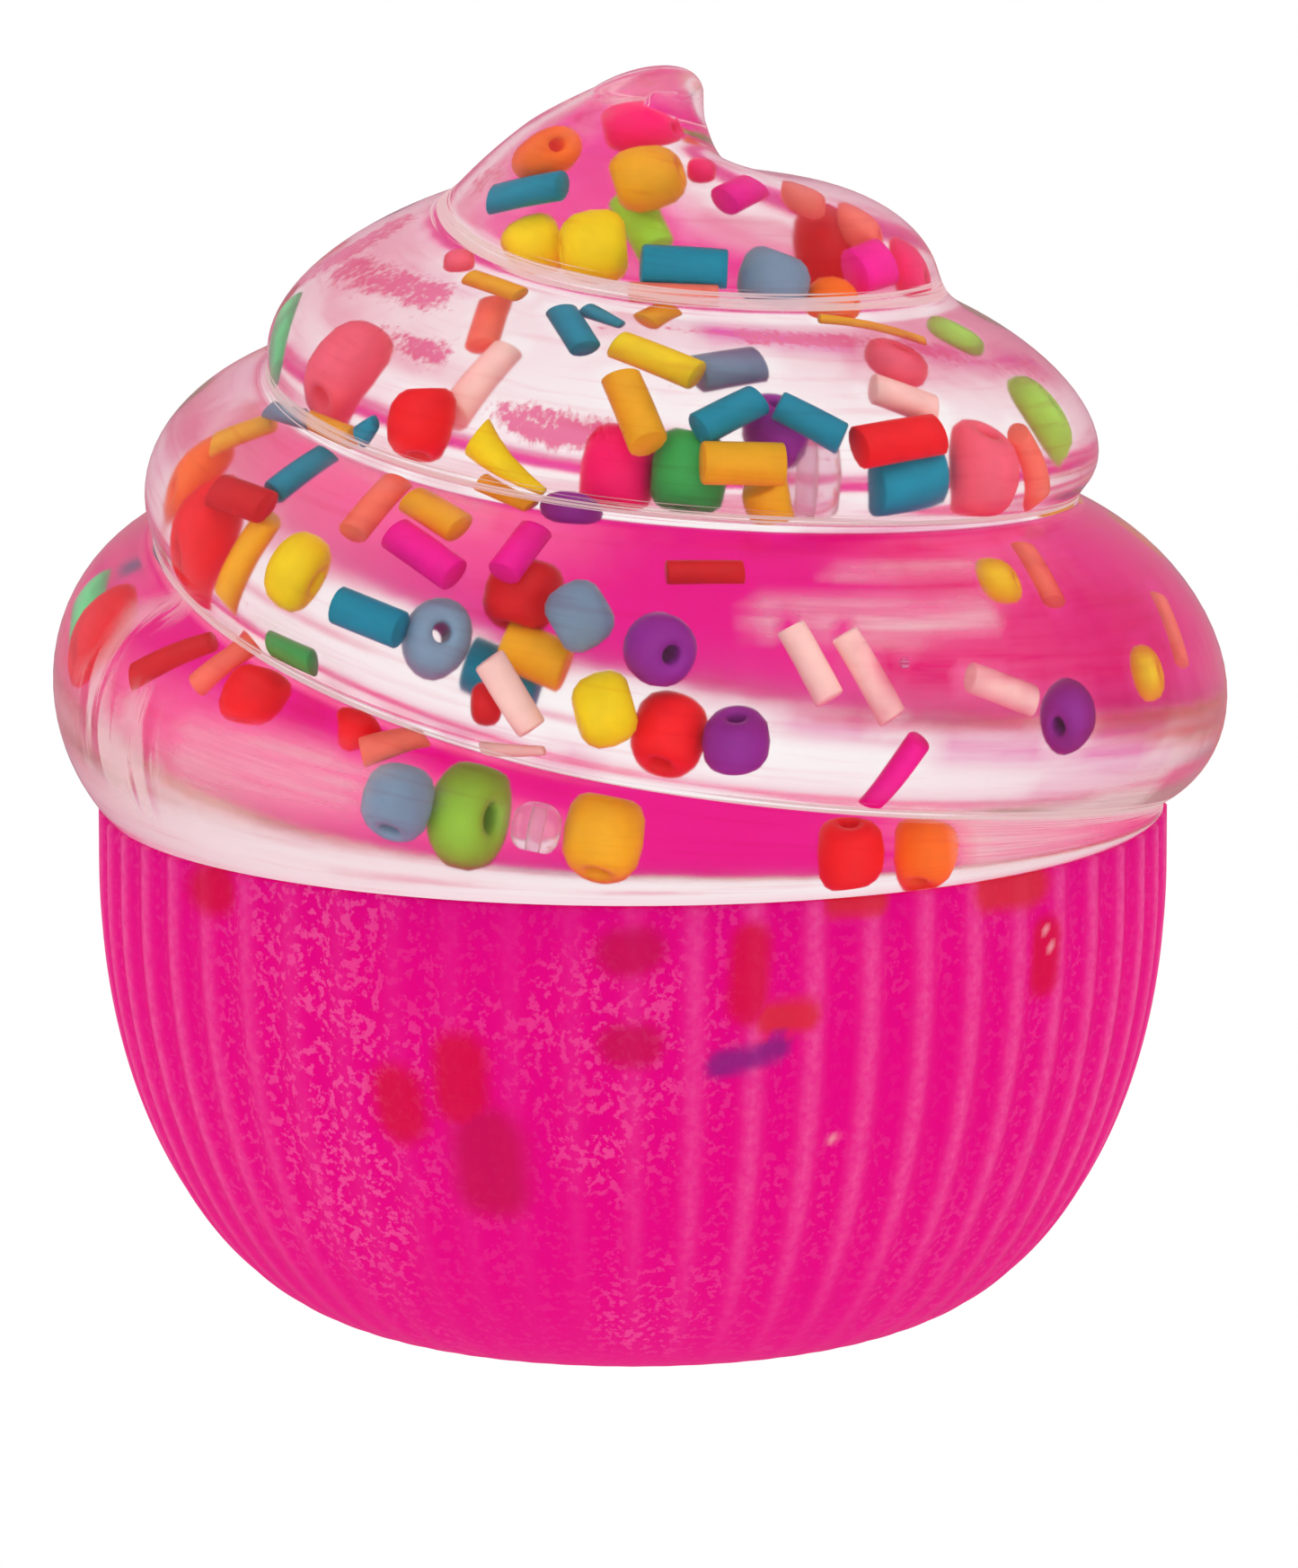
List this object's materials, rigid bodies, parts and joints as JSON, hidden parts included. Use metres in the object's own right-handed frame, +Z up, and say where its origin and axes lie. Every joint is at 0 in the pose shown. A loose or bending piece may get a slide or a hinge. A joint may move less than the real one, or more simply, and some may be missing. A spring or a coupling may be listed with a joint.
{
  "type": "squeezable toy cupcake",
  "caption": "Squeezable toy cupcake: a clear piped swirl of soft plastic, filled with clear gel, coloured beads and short rods, on a fluted pink cup with a flat base.",
  "frame": {"origin": "middle of the flat base, on the surface that the toy stands on", "axes": "+Z up through the tip; -Y faces the viewer of the picture; +X to the viewer's right, where the lowest groove of the swirl meets the rim"},
  "size_m": [0.0695, 0.0686, 0.0746],
  "materials": {
    "pink_cup": "translucent hot pink soft plastic, satin, with mottled lighter veins",
    "clear_swirl": "clear soft plastic skin over clear gel, wet-looking gloss; rubbery, not glass",
    "beads": "moulded plastic beads and cut rods in many bright colours, sunk in the gel"
  },
  "bodies": {
    "root": {"cup": "pink_cup", "swirl": "clear_swirl"}
  },
  "joints": []
}
